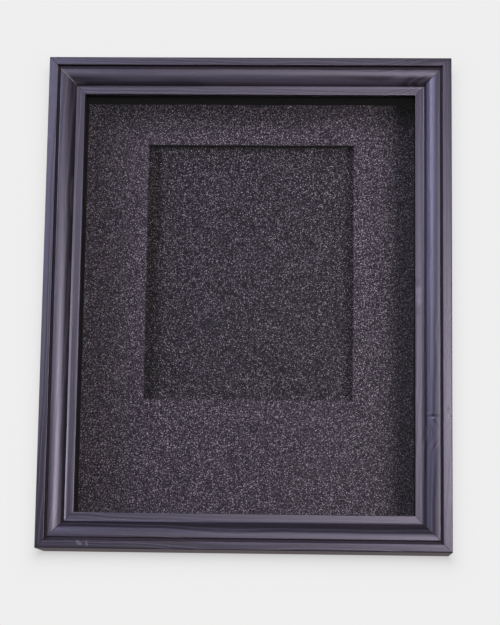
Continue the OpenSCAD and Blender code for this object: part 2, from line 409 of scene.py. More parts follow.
@dataclass(frozen=True)
class Glitter(Finish):
    """Card coated with metallised flakes in black glue: a dark ground, with painted lilac and grey glints.
    """

    # Painted glints, from the flakes that lie turned away to the few that face the light
    flakes: tuple[str, ...] = ("0e0a14", "2b2730", "4a454f", "888589", "c4c5c8")
    shares: tuple[float, ...] = (0.0, 0.45, 0.78, 0.93, 1.0)
    tints: tuple[tuple[float, str], ...] = ((0.0, "f7e8ff"), (0.5, "fceffd"), (1.0, "f7f0f8"))
    # A flake is 0.2 mm across. It is drawn at 0.36 mm, a little under a pixel of the picture, to show
    flake_mm: float = 0.36

    def dress(self, tree: NodeTree, shader: Node, place: NodeSocket) -> None:
        """Gives each flake a painted glint as its brightness, and a tint of its own.

        Args:
            tree: the material's nodes.
            shader: its Principled shader.
            place: Object coordinates.
        """
        flake = add_node(tree, "TexVoronoi", {"Scale": 1 / (self.flake_mm * MM)}, {"Vector": place}, "Color")
        parts = add_node(tree, "SeparateColor", links={"Color": flake}).node.outputs
        stops = list(zip(self.shares, self.flakes))
        # Each flake's brightness is a painted glint; its tint is its own colour
        bright = add_node(tree, "ValToRGB", {"stops": stops}, {"Fac": parts["Red"]})
        tint = add_node(tree, "ValToRGB", {"stops": self.tints}, {"Fac": parts["Green"]})
        colour = add_node(
            tree, "Mix", {"data_type": "RGBA", "blend_type": "MULTIPLY", 0: 1.0}, {6: bright, 7: tint}, 2
        )
        fill(tree, shader, {"Roughness": 0.6, "Specular IOR Level": 0.1}, {"Base Color": colour})


@dataclass(frozen=True)
class Speckled(Finish):
    """A matt stuff with a fine grain of its own: painted fillets, foam, fibreboard, rubber, filler."""

    dark: str = "101012"
    pale: str = "18181a"
    grain_mm: float = 0.8
    stretch: Triple = (1.0, 1.0, 1.0)
    roughness: float = 0.8
    shine: float = 0.5
    relief_mm: float = 0.03

    def dress(self, tree: NodeTree, shader: Node, place: NodeSocket) -> None:
        """Mottles the colour and roughens the surface with the same grain.

        Args:
            tree: the material's nodes.
            shader: its Principled shader.
            place: Object coordinates.
        """
        scale = [1 / (self.grain_mm * MM * s) for s in self.stretch]
        spread = add_node(tree, "Mapping", {"Scale": scale}, {"Vector": place})
        grit = add_node(
            tree, "TexNoise", {"Scale": 1.0, "Detail": 4.0, "Roughness": 0.65}, {"Vector": spread}
        )
        stops = [(0.3, self.dark), (0.72, self.pale)]
        shade = add_node(tree, "ValToRGB", {"stops": stops}, {"Fac": grit})
        relief = add_node(
            tree, "Bump", {"Strength": 0.4, "Distance": self.relief_mm * MM}, {"Height": grit}
        )
        fill(
            tree, shader, {"Roughness": self.roughness, "Specular IOR Level": self.shine},
            {"Base Color": shade, "Normal": relief},
        )


@dataclass(frozen=True)
class ZincPlate(Finish):
    """Pressed steel, bright zinc plated: a grey metal with a faint spangle and drawn scratches."""

    dark: str = "b3b4b6"
    pale: str = "d0d2d4"
    spangle_mm: float = 2.5
    scratch_mm: Triple = (0.3, 0.3, 6.0)
    roughness: float = 0.34
    roughness_swing: float = 0.1

    def dress(self, tree: NodeTree, shader: Node, place: NodeSocket) -> None:
        """Varies the metal's colour by spangle and its gloss by scratch.

        Args:
            tree: the material's nodes.
            shader: its Principled shader.
            place: Object coordinates.
        """
        size = 1 / (self.spangle_mm * MM)
        spangle = add_node(tree, "TexVoronoi", {"Scale": size}, {"Vector": place}, "Color")
        stops = [(0.0, self.dark), (1.0, self.pale)]
        shade = add_node(tree, "ValToRGB", {"stops": stops}, {"Fac": spangle})
        fine = [1 / (s * MM) for s in self.scratch_mm]
        drawn = add_node(tree, "Mapping", {"Scale": fine}, {"Vector": place})
        scratch = add_node(tree, "TexNoise", {"Scale": 1.0, "Detail": 3.0}, {"Vector": drawn})
        low, high = self.roughness - self.roughness_swing, self.roughness + self.roughness_swing
        gloss = add_node(tree, "MapRange", {"To Min": low, "To Max": high}, {"Value": scratch})
        fill(tree, shader, {"Metallic": 1.0}, {"Base Color": shade, "Roughness": gloss})


@dataclass(frozen=True)
class ClearSheet(Finish):
    """Picture glass with an etched face: all but invisible, and it mirrors no lamp."""

    body: str = "0c0d0d"
    alpha: float = 0.04
    ior: float = 1.52
    film_mm: float = 60.0
    film_roughness: tuple[float, float] = (0.36, 0.44)

    def dress(self, tree: NodeTree, shader: Node, place: NodeSocket) -> None:
        """Sets the sheet's colour, gloss and clearness, with a faint film that varies its gloss.

        Args:
            tree: the material's nodes.
            shader: its Principled shader.
            place: Object coordinates.
        """
        size = 1 / (self.film_mm * MM)
        film = add_node(tree, "TexNoise", {"Scale": size, "Detail": 2.0}, {"Vector": place})
        low, high = self.film_roughness
        gloss = add_node(tree, "MapRange", {"To Min": low, "To Max": high}, {"Value": film})
        fill(
            tree, shader, {"Base Color": linear(self.body), "Alpha": self.alpha, "IOR": self.ior},
            {"Roughness": gloss},
        )


def add_object(bm: BMesh, name: str, materials: list[Material]) -> Object:
    """Turns a bmesh into an object of the scene.

    Args:
        bm: the mesh, in place. It is freed.
        name: the object's name.
        materials: its materials, in the order that its faces number them.

    Returns:
        The object.
    """
    mesh = bpy.data.meshes.new(name)
    bm.to_mesh(mesh)
    bm.free()
    for material in materials:
        mesh.materials.append(material)
    made = bpy.data.objects.new(name, mesh)
    bpy.context.scene.collection.objects.link(made)
    return made


def make_piece(
    bm: BMesh, name: str, body: str, nodes: list[str], materials: list[Material]
) -> Object:
    """Turns a finished bmesh into a piece of the object.

    Args:
        bm: the mesh, in place in the CAD model's frame. It is freed.
        name: the piece's name.
        body: the CAD body that it rides on.
        nodes: the CAD nodes that it stands for.
        materials: its materials, in the order that its faces number them.

    Returns:
        The piece's object.
    """
    bmesh.ops.remove_doubles(bm, verts=bm.verts, dist=WELD)
    bmesh.ops.recalc_face_normals(bm, faces=bm.faces)
    for face in bm.faces:
        face.smooth = True
    for edge in bm.edges:
        edge.smooth = len(edge.link_faces) == 2 and edge.calc_face_angle() < SMOOTH_BELOW
    piece = add_object(bm, name, materials)
    even = piece.modifiers.new("even_normals", "WEIGHTED_NORMAL")
    even.keep_sharp = True
    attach(piece, body)
    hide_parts(*nodes)
    LOG.info("%s rides on %s, %d faces", name, body, len(piece.data.polygons))
    return piece


def show(node: Object, material: Material) -> None:
    """Gives a carried-over CAD node its finish.

    Args:
        node: the node's object.
        material: the finish.
    """
    for slot in node.material_slots:
        slot.material = material
    LOG.info("%s keeps its solid, in %s", node.name, material.name)


def whole(bm: BMesh) -> list[Shape]:
    """All that a mesh is made of."""
    return bm.verts[:] + bm.edges[:] + bm.faces[:]


def corners_of(geom: list[Shape]) -> list[BMVert]:
    """Picks the vertices out of what an operator returns."""
    return [g for g in geom if isinstance(g, BMVert)]


def open_edges(bm: BMesh) -> list[BMEdge]:
    """The edges that have a face on one side alone."""
    return [e for e in bm.edges if e.is_boundary]


def join_up(bm: BMesh, line: list[BMVert]) -> list[BMEdge]:
    """Adds the edges between each vertex of a line and the next."""
    return [bm.edges.new(pair) for pair in zip(line, line[1:])]


def cut(bm: BMesh, point: Triple, way: Triple, clear: bool = False) -> None:
    """Cuts a mesh along a plane.

    Args:
        bm: the mesh.
        point: a point of the plane, in metres.
        way: the direction that the plane faces.
        clear: whether what lies on that side goes.
    """
    bmesh.ops.bisect_plane(
        bm, geom=whole(bm), dist=WELD, plane_co=point, plane_no=way, clear_outer=clear
    )


def round_off(bm: BMesh, geom: list[Shape], radius: float, steps: int, affect: str = "EDGES") -> None:
    """Rounds edges of a mesh, or corners of a flat one.

    Args:
        bm: the mesh.
        geom: the edges or vertices.
        radius: the rounding, in millimetres.
        steps: faces or edges across it.
        affect: EDGES or VERTICES.
    """
    bmesh.ops.bevel(
        bm, geom=geom, offset=radius * MM, segments=steps, profile=0.5, affect=affect, material=-1
    )


def ease_edges(bm: BMesh, radius: float) -> None:
    """Rounds every sharp edge of a solid.

    Args:
        bm: the solid.
        radius: the rounding, in millimetres.
    """
    bmesh.ops.recalc_face_normals(bm, faces=bm.faces)
    sharp = [e for e in bm.edges if len(e.link_faces) == 2 and e.calc_face_angle() > SHARP_ABOVE]
    round_off(bm, sharp, radius, 2)


def thicken(bm: BMesh, way: Vector) -> None:
    """Makes a solid of a flat mesh.

    Args:
        bm: the flat mesh.
        way: how far it is drawn out, in metres.
    """
    grown = bmesh.ops.extrude_face_region(bm, geom=bm.faces[:])["geom"]
    bmesh.ops.translate(bm, verts=corners_of(grown), vec=way)


def draw_on(bm: BMesh, loop: list[Shape], way: Vector) -> list[Shape]:
    """Draws a loop or a line of edges on in a straight line.

    Args:
        bm: the mesh.
        loop: the edges, with or without their vertices.
        way: how far, in metres.

    Returns:
        The new vertices and edges.
    """
    edges = [g for g in loop if isinstance(g, BMEdge)]
    grown = bmesh.ops.extrude_edge_only(bm, edges=edges)["geom"]
    bmesh.ops.translate(bm, verts=corners_of(grown), vec=way)
    return [g for g in grown if not isinstance(g, BMFace)]


def turn_on(
    bm: BMesh, loop: list[Shape], centre: Vector, axis: Vector, degrees: float, steps: int
) -> list[Shape]:
    """Draws a loop, a line or a point on round an axis.

    Args:
        bm: the mesh.
        loop: the vertices and edges.
        centre: a point of the axis, in metres.
        axis: its direction.
        degrees: how far.
        steps: how many faces or edges.

    Returns:
        The last vertices and edges.
    """
    parts = [g for g in loop if not isinstance(g, BMFace)]
    turned = bmesh.ops.spin(
        bm, geom=parts, cent=centre, axis=axis, angle=math.radians(degrees), steps=steps,
        use_merge=degrees == 360,
    )
    return turned["geom_last"]


@dataclass
class Moulding:
    """Section of the rails, in millimetres out from the sight edge and back from the outer band."""

    lip_wide: float = 5.0
    lip_back: float = 6.2
    lip_thick: float = 4.0
    # The lip is worn down at the sight edge, and rises in a shallow cove to the bead
    worn_wide: float = 0.7
    worn_deep: float = 0.14
    cove: Line = ((1.5, 0.0), (0.7, 0.08), (0.0, 0.24))
    rebate_wide: float = 6.3
    crown_at: float = 13.5
    crown_back: float = 1.6
    quirk_at: float = 14.1
    quirk_wide: float = 1.7
    quirk_back: float = 2.8
    quirk_radius: float = 0.35
    edge_radius: float = 0.6
    arris_radius: float = 0.35
    sight_radius: float = 0.12
    worn_radius: float = 0.45
    round_steps: int = 4
    bead_steps: int = 20
    # The bead leaves the lip in a short straight: turns of the ellipse left out
    steps_left_out: int = 2

    def outline(self, wide: float, deep: float) -> list[Triple]:
        """The section's corners in order, from the sight edge round to the back of the lip.

        Args:
            wide: the rail's width.
            deep: the rail's depth.

        Returns:
            Distance out, distance back and corner radius of each point, in millimetres.
        """
        lip, crown, quirk = self.lip_wide, self.crown_at, self.quirk_at
        far = quirk + self.quirk_wide
        rear = self.lip_back + self.lip_thick
        points = [(0.0, self.lip_back + self.worn_deep, self.sight_radius)]
        points += [(self.worn_wide, self.lip_back, 0.0)]
        points += [(lip - before, self.lip_back - rise, 0.0) for before, rise in self.cove]
        foot = points[-1][1]
        for step in range(self.steps_left_out, self.bead_steps + 1):
            turn = math.pi / 2 * step / self.bead_steps
            out = crown - (crown - lip) * math.cos(turn)
            points.append((out, foot - (foot - self.crown_back) * math.sin(turn), 0.0))
        points += [
            (quirk, self.crown_back, self.quirk_radius),
            (quirk, self.quirk_back, 0.0),
            (far, self.quirk_back, 0.0),
            (far, 0.0, self.worn_radius),
            (wide, 0.0, self.edge_radius),
            (wide, deep, self.arris_radius),
            (self.rebate_wide, deep, self.arris_radius),
            (self.rebate_wide, rear, 0.0),
            (0.0, rear, 0.0),
        ]
        return points


@dataclass
class RailFrame:
    """The four mitred rails, stained on their faces and bare behind."""

    section: Moulding = field(default_factory=Moulding)
    # The stain has all but filled the quirk of the uprights, which leaves it narrower
    upright: Moulding = field(
        default_factory=lambda: Moulding(quirk_at=14.3, quirk_wide=0.95, quirk_back=2.4, quirk_radius=0.6)
    )
    # The mitres' front edges are eased a little, and the top left one has opened and been filled
    mitre_ease: float = 0.1
    filler_wide: float = 0.3
    # A face this near to a line of the section lies on it
    near: float = 0.01
    # How far a face has to turn to the rear or inwards, outwards, and to the front, to count as such
    rearward: float = 0.5
    outward: float = 0.8
    frontward: float = 0.1

    def build(self, side: Side, materials: list[Material]) -> Object:
        """Models one rail and dresses it.

        Args:
            side: which rail.
            materials: the finishes, as RailFace numbers them.

        Returns:
            The rail's piece.
        """
        low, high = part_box("top_rail")
        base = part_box("bottom_rail")[0]
        wide, deep = high.z - low.z, high.y - low.y
        middle = Vector((0, low.y, (base.z + high.z) / 2))
        size = (high.x - low.x, high.z - base.z)
        level = side in (Side.TOP, Side.BOTTOM)
        length, reach = (size[0], size[1] / 2) if level else (size[1], size[0] / 2)
        section = self.section if level else self.upright
        bm = bmesh.new()
        corners: dict[float, list[BMVert]] = {}
        loop = []
        for out, back, radius in section.outline(wide / MM, deep / MM):
            loop.append(bm.verts.new((-length / 2, back * MM, reach - wide + out * MM)))
            if radius:
                corners.setdefault(radius, []).append(loop[-1])
        bm.faces.new(loop)
        for radius, verts in corners.items():
            round_off(bm, verts, radius, section.round_steps, "VERTICES")
        thicken(bm, Vector((length, 0, 0)))
        for end in (-1, 1):
            cut(bm, (end * length / 2, 0, reach), (end, 0, -1), clear=True)
            self.close_mitre(bm)
        self.sort_faces(bm, section, reach - wide)
        if side in (Side.TOP, Side.LEFT):
            self.fill_mitre(bm, -1 if side is Side.TOP else 1, length / 2, reach, reach - wide)
        turn = Matrix.Rotation(math.radians(side.value), 4, "Y")
        bmesh.ops.transform(bm, matrix=Matrix.Translation(middle) @ turn, verts=bm.verts)
        name = side.name.lower()
        return make_piece(bm, f"{name}_moulding", "frame", [f"{name}_rail"], materials)

    def close_mitre(self, bm: BMesh) -> None:
        """Fills a rail's open end and eases its front edges.

        Args:
            bm: the rail, along X, cut off at one end.
        """
        rim = open_edges(bm)
        bmesh.ops.holes_fill(bm, edges=rim, sides=0)
        bmesh.ops.recalc_face_normals(bm, faces=bm.faces)
        deepest = (self.section.lip_back + self.section.worn_deep) * MM + 10 * WELD
        front = [e for e in rim if e.is_valid and max(v.co.y for v in e.verts) <= deepest]
        round_off(bm, front, self.mitre_ease, 1)

    def sort_faces(self, bm: BMesh, section: Moulding, sight: float) -> None:
        """Gives the back and the rebate bare wood, and the quirk the stain that gathers in it.

        Args:
            bm: the rail, along X.
            section: its section.
            sight: height of its sight edge.
        """
        lip_rear = section.lip_back + section.lip_thick
        quirk_far = section.quirk_at + section.quirk_wide
        for face in bm.faces:
            middle = face.calc_center_median()
            out, back = (middle.z - sight) / MM, middle.y / MM
            behind = face.normal.y > self.rearward or face.normal.z < -self.rearward
            if behind and back > lip_rear - self.near:
                face.material_index = RailFace.BARE.value
            elif face.normal.z > self.outward and back > section.lip_back:
                face.material_index = RailFace.SIDE.value
            elif section.quirk_at - self.near < out < quirk_far + self.near:
                if section.crown_back < back < section.quirk_back + self.near:
                    face.material_index = RailFace.POOLED.value

    def fill_mitre(self, bm: BMesh, end: int, half: float, reach: float, sight: float) -> None:
        """Marks off a strip of filler along a mitre, across the bead.

        Args:
            bm: the rail, along X.
            end: -1 for the end at low X, 1 for the other.
            half: half of the rail's length.
            reach: height of its outside.
            sight: height of its sight edge.
        """
        edge = end * (half - self.filler_wide * MM * math.sqrt(2))
        cut(bm, (edge, 0, reach), (end, 0, -1))
        bmesh.ops.recalc_face_normals(bm, faces=bm.faces)
        for face in bm.faces:
            middle = face.calc_center_median()
            past = end * (middle.x - edge) + (reach - middle.z) > 0
            out = (middle.z - sight) / MM
            bead = self.section.lip_wide < out < self.section.quirk_at
            if past and bead and face.normal.y < -self.frontward:
                face.material_index = RailFace.FILLED.value

    def stained(self) -> dict[Side, Pine]:
        """The stained faces, each with grain, knots and marks of its own.

        Returns:
            The finish of each rail's face.
        """
        # Pine under a black satin stain: a dark body whose sheen has a cool violet cast
        stain = {"gloss": "e6ddff"}
        # Where the outer band was rubbed, near the lower left corner
        pale = {"colour": "5e5967"}
        rubbed = (
            Mark(-92.0, -20, 3.4, 1.6, 1.3, broken=1.8, patch_mm=0.9, **pale),
            Mark(-90.6, -20, 2.4, 1.5, 1.2, broken=1.8, patch_mm=0.9, **pale),
            Mark(-86.8, -20, 3.0, 0.8, 2.4, broken=1.4, patch_mm=1.0, **pale),
            Mark(-41.0, -20, 2.0, 1.2, 0.8, colour="56515e", broken=1.0),
        )
        # A knot's scar across the bead, with brown flecks beside it, and clouded stain on the lip
        fleck = {"colour": "131014", "broken": 1.2, "raised_mm": -0.03}
        cloud = {"colour": "534e5b", "broken": 1.2, "patch_mm": 3.5}
        pool = {"colour": "0c0b0d", "weight": 0.9, "broken": 1.0, "patch_mm": 3.0}
        scarred = (
            Mark(105.0, -18, 76.0, 1.6, 6.0, colour="100e12", raised_mm=-0.07),
            Mark(102.6, -18, 77.6, 1.0, 2.0, colour="6d6877", weight=0.5),
            Mark(113.2, -20, 80.0, 2.6, 1.8, **fleck),
            Mark(115.0, -20, 75.4, 2.2, 1.5, **fleck),
            Mark(97.6, -14, 146.5, 6.0, 3.2, weight=0.7, **cloud),
            Mark(97.6, -14, 142.0, 4.0, 3.0, weight=0.5, **cloud),
            Mark(97.0, -14, 136.5, 4.0, 2.8, **pool),
            Mark(97.0, -14, 152.5, 3.5, 2.8, **pool),
        )
        return {
            Side.TOP: Pine(
                "stained_pine_top_rail", shift=0.31, knots=(Spot(114, -18, 272, 26, 60, -2.4),), **stain
            ),
            Side.BOTTOM: Pine("stained_pine_bottom_rail", shift=0.77, marks=rubbed, **stain),
            Side.LEFT: Pine("stained_pine_left_rail", grain=Grain.UPRIGHT, shift=1.4, **stain),
            Side.RIGHT: Pine(
                "stained_pine_right_rail", grain=Grain.UPRIGHT, shift=2.1, marks=scarred,
                knots=(Spot(106, -18, 66, 7, 7, 1.4), Spot(116, -20, 122, 12, 8, -1.8)), **stain
            ),
        }

    def dress(self) -> None:
        """Builds the four rails, stained in front, bare behind and dull at the sides."""
        # Sawn pine without stain: pale and dull, with brown late wood
        raw = {
            grain: Pine(
                f"bare_pine_sawn_{grain.name.lower()}", early="cbab7d", late="a37c4b", roughness=0.68,
                grain=grain, ring_mm=2.0, shift=0.4,
            ).material()
            for grain in Grain
        }
        # The sides got one thin coat of the stain: dull, with the brown of the wood in it
        thin_coat = {"early": "231e20", "late": "3a3235", "shift": 0.9}
        dull = {
            grain: Pine(
                f"stained_pine_side_{grain.name.lower()}", roughness=0.62, shine=0.2, grain=grain,
                **thin_coat,
            ).material()
            for grain in Grain
        }
        # The underside was stained with the face, and shines as it does
        underside = Pine("stained_pine_underside", **thin_coat).material()
        # Filler dries pale in an opened joint
        filler = Speckled("wood_filler_dried", dark="58545a", pale="7d787e", grain_mm=0.6).material()
        # Stain gathers in the quirk and dries dull
        pooled = Speckled(
            "wood_stain_pooled", dark="262029", pale="332b37", grain_mm=0.7, shine=0.2
        ).material()
        for side, finish in self.stained().items():
            outside = underside if side is Side.BOTTOM else dull[finish.grain]
            self.build(side, [finish.material(), raw[finish.grain], filler, pooled, outside])


@dataclass
class Insert:
    """The glass, the fillets and the stack of boards behind them."""

    card_ease: float = 0.12
    backing_ease: float = 0.35
    # How far the aperture's edge stands past the foam behind it
    overhang: float = 0.4
    # A face that looks this much to the front or to the rear is one of a board's two faces
    flat: float = 0.9

    def board(self, name: str, node: str, slot: str, ease: float, materials: list[Material]) -> Object:
        """Models one board of the stack, with its opening if it is the one with the aperture.

        Args:
            name: the piece's name.
            node: the CAD node that it stands for.
            slot: a name for its material slot, not used.
            ease: the rounding of its edges, in millimetres.
            materials: the finishes, as CardFace numbers them.

        Returns:
            The board's piece.
        """
        low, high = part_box(node)
        bm = bmesh.new()
        size = Matrix.Diagonal((*(high - low), 1))
        bmesh.ops.create_cube(bm, size=1, matrix=Matrix.Translation((low + high) / 2) @ size)
        if node == "aperture_board":
            self.cut_opening(bm)
        ease_edges(bm, ease)
        for face in bm.faces:
            side = CardFace.FRONT if face.normal.y < 0 else CardFace.REAR
            shown = side if abs(face.normal.y) > self.flat else CardFace.EDGE
            face.material_index = shown.value
        return make_piece(bm, name, "back", [node], materials)

    def cut_opening(self, bm: BMesh) -> None:
        """Cuts the aperture out of its board.

        Args:
            bm: the board.
        """
        past = self.overhang * MM
        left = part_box("riser_left")[1].x + past
        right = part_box("riser_right")[0].x - past
        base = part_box("riser_bottom")[1].z + past
        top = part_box("riser_top")[0].z - past
        for x in (left, right):
            cut(bm, (x, 0, 0), (1, 0, 0))
        for z in (base, top):
            cut(bm, (0, 0, z), (0, 0, 1))
        inside = []
        for face in bm.faces:
            middle = face.calc_center_median()
            if abs(face.normal.y) > self.flat and left < middle.x < right and base < middle.z < top:
                inside.append(face)
        bmesh.ops.delete(bm, geom=inside, context="FACES")
        bmesh.ops.bridge_loops(bm, edges=open_edges(bm))

    def dress(self) -> dict[Lit, list[Object]]:
        """Builds the boards and gives the carried-over solids their finishes.

        Returns:
            What has lamps of its own: the board with the foam behind it, and the panel in the recess.
        """
        # Thin wood painted matt black: the walls of the well swallow the light
        fillet = Speckled(
            "painted_fillet_matt_black", dark="151316", pale="1e1b20", grain_mm=0.5, shine=0.1
        ).material()
        # Foam with a black core, cut with a knife: a soft dark edge
        foam = Speckled(
            "black_foam_board_cut", dark="0d0d0e", pale="171718", grain_mm=0.4, shine=0.15
        ).material()
        # Card with a black core, cut with a knife: dull, a little fibrous
        core = Speckled(
            "black_core_card_cut", dark="0f0f10", pale="1b1b1c", grain_mm=0.3, shine=0.2
        ).material()
        # Pressed wood fibre: warm brown with short pale fibres
        fibre = Speckled(
            "hardboard_pressed", dark="7d5c3b", pale="a07a50", grain_mm=0.9, roughness=0.6,
            stretch=(3.0, 1.0, 1.0),
        ).material()
        glitter = Glitter("glitter_card_coated").material()
        # The panel behind is the same card, its ground and painted glints a shade darker
        deeper = Glitter(
            "glitter_card_coated_dark", flakes=("08050b", "1e1a22", "3a353e", "777578", "bebdc1")
        ).material()
        glass = ClearSheet("picture_glass_etched").material()
        risers = []
        for name, node in frame["nodes"].items():
            if name.endswith("_spacer"):
                show(node, fillet)
            elif name.startswith("riser_"):
                show(node, foam)
                risers.append(node)
        show(frame["nodes"]["glazing"], glass)
        self.board("backing_sheet", "backing_board", "fibreboard", self.backing_ease, [fibre, fibre, fibre])
        card = ("glitter_board", self.card_ease)
        front = self.board("aperture_card", "aperture_board", *card, [glitter, core, core])
        panel = self.board("recess_card", "recess_panel", *card, [deeper, core, core])
        return {Lit.BOARD: [*risers, front], Lit.PANEL: [panel]}


@dataclass
class TurnButton:
    """A pressed steel turn button: a round head on its screw, and a nose that holds the back."""

    head_radius: float = 4.4
    nose_radius: float = 2.3
    nose_reach: float = 9.4
    hole_radius: float = 1.58
    ease: float = 0.2

    def build(self, joint: dict, material: Material) -> Object:
        """Models the button that one joint turns.

        Args:
            joint: the joint.
            material: the plated steel.

        Returns:
            The button's piece.
        """
        node = "turn_" + joint["child"]
        pivot = Vector(joint["pos_m"])
        low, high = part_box(node)
        head, nose, reach = self.head_radius * MM, self.nose_radius * MM, self.nose_reach * MM
        lean = math.acos((head - nose) / reach)
        side = Vector((math.sin(lean), 0, math.cos(lean)))
        tip = Vector((0, 0, reach))
        nose_turn = 2 * math.degrees(lean)
        bm = bmesh.new()
        # The outline, nose up: two arcs and their tangents
        first = bm.verts.new(side * head)
        far = corners_of(turn_on(bm, [first], Vector(), INWARD, 360 - nose_turn, steps=24))[0]
        near = bm.verts.new(tip + Vector((-side.x, 0, side.z)) * nose)
        last = corners_of(turn_on(bm, [near], tip, INWARD, nose_turn, steps=12))[0]
        bm.edges.new((far, near))
        bm.edges.new((last, first))
        bmesh.ops.create_circle(
            bm, radius=self.hole_radius * MM, segments=28, matrix=Matrix.Rotation(math.pi / 2, 4, "X")
        )
        bmesh.ops.bridge_loops(bm, edges=bm.edges[:])
        thicken(bm, INWARD * (high.y - low.y))
        ease_edges(bm, self.ease)
        # The nose points to where the CAD button's middle lies from its pivot
        aim = (low + high) / 2 - pivot
        turn = Matrix.Rotation(math.atan2(aim.x, aim.z), 4, "Y")
        place = Matrix.Translation((pivot.x, low.y, pivot.z)) @ turn
        bmesh.ops.transform(bm, matrix=place, verts=bm.verts)
        return make_piece(bm, joint["child"] + "_plate", joint["child"], [node], [material])


@dataclass
class PanScrews:
    """Pan-head wood screws with a cross recess."""

    head_radius: float = 2.9
    head_high: float = 1.7
    # The head's round between its flat top and its side: radius and height
    dome: Line = ((2.5, 1.42), (2.8, 0.95))
    side_high: float = 0.5
    shank_radius: float = 1.5
    shank_long: float = 11.0
    point_long: float = 3.0
    rim_radius: float = 1.9
    cross_half: float = 1.35
    slot_half: float = 0.36
    cross_deep: float = 0.9
    # The recess narrows to this share of its width
    cross_taper: float = 0.75
    # No two screws stop at the same turn
    turn_between: float = 37.0

    def add(self, bm: BMesh, place: Vector, number: int) -> None:
        """Models one screw.

        Args:
            bm: the mesh that gets it.
            place: the middle of its head's underside.
            number: which screw it is.
        """
        one = bmesh.new()
        # From the rim of the flat top round the head and down the shank to its point
        profile = [
            (self.rim_radius, self.head_high), *self.dome, (self.head_radius, self.side_high),
            (self.head_radius, 0.0), (self.shank_radius, 0.0),
            (self.shank_radius, self.point_long - self.shank_long), (0.0, -self.shank_long),
        ]
        line = [one.verts.new((r * MM, h * MM, 0)) for r, h in profile]
        turn_on(one, line + join_up(one, line), Vector(), INWARD, 360, steps=24)
        bmesh.ops.remove_doubles(one, verts=one.verts, dist=WELD)
        self.cut_cross(one, open_edges(one))
        turn = Matrix.Rotation(math.radians(number * self.turn_between), 4, "Y")
        bmesh.ops.transform(one, matrix=Matrix.Translation(place) @ turn, verts=one.verts)
        mesh = bpy.data.meshes.new("one_screw")
        one.to_mesh(mesh)
        one.free()
        bm.from_mesh(mesh)
        bpy.data.meshes.remove(mesh)

    def cut_cross(self, bm: BMesh, rim: list[BMEdge]) -> None:
        """Closes a screw's top with a cross recess.

        Args:
            bm: the screw, open at the top.
            rim: the edges of the opening.
        """
        half, third = self.cross_half * MM, self.cross_half * MM / 3
        flat = Matrix.Translation((0, self.head_high * MM, 0)) @ Matrix.Rotation(-math.pi / 2, 4, "X")
        grid = bmesh.ops.create_grid(bm, x_segments=3, y_segments=3, size=half, matrix=flat)
        for vert in grid["verts"]:
            for way in (0, 2):
                if abs(vert.co[way]) < half / 2:
                    vert.co[way] *= self.slot_half * MM / third
        middles = {f: f.calc_center_median() for v in grid["verts"] for f in v.link_faces}
        outer = [f for f, middle in middles.items() if min(abs(middle.x), abs(middle.z)) > third / 2]
        bmesh.ops.delete(bm, geom=outer, context="FACES")
        cross = [f for f in middles if f.is_valid]
        edge = [e for e in open_edges(bm) if e not in rim]
        bmesh.ops.bridge_loops(bm, edges=rim + edge)
        sunk = corners_of(bmesh.ops.extrude_face_region(bm, geom=cross)["geom"])
        bmesh.ops.translate(bm, verts=sunk, vec=(0, -self.cross_deep * MM, 0))
        bmesh.ops.scale(bm, verts=sunk, vec=(self.cross_taper, 1, self.cross_taper))
        bmesh.ops.delete(bm, geom=[f for f in cross if f.is_valid], context="FACES_ONLY")

    def build(self, name: str, node: str, places: list[Vector], material: Material) -> Object:
        """Models a group of screws.

        Args:
            name: the piece's name.
            node: the CAD node that it stands for.
            places: the middle of each head's underside.
            material: the plated steel.

        Returns:
            The group's piece.
        """
        bm = bmesh.new()
        for number, place in enumerate(places):
            self.add(bm, place, number)
        return make_piece(bm, name, "frame", [node], [material])


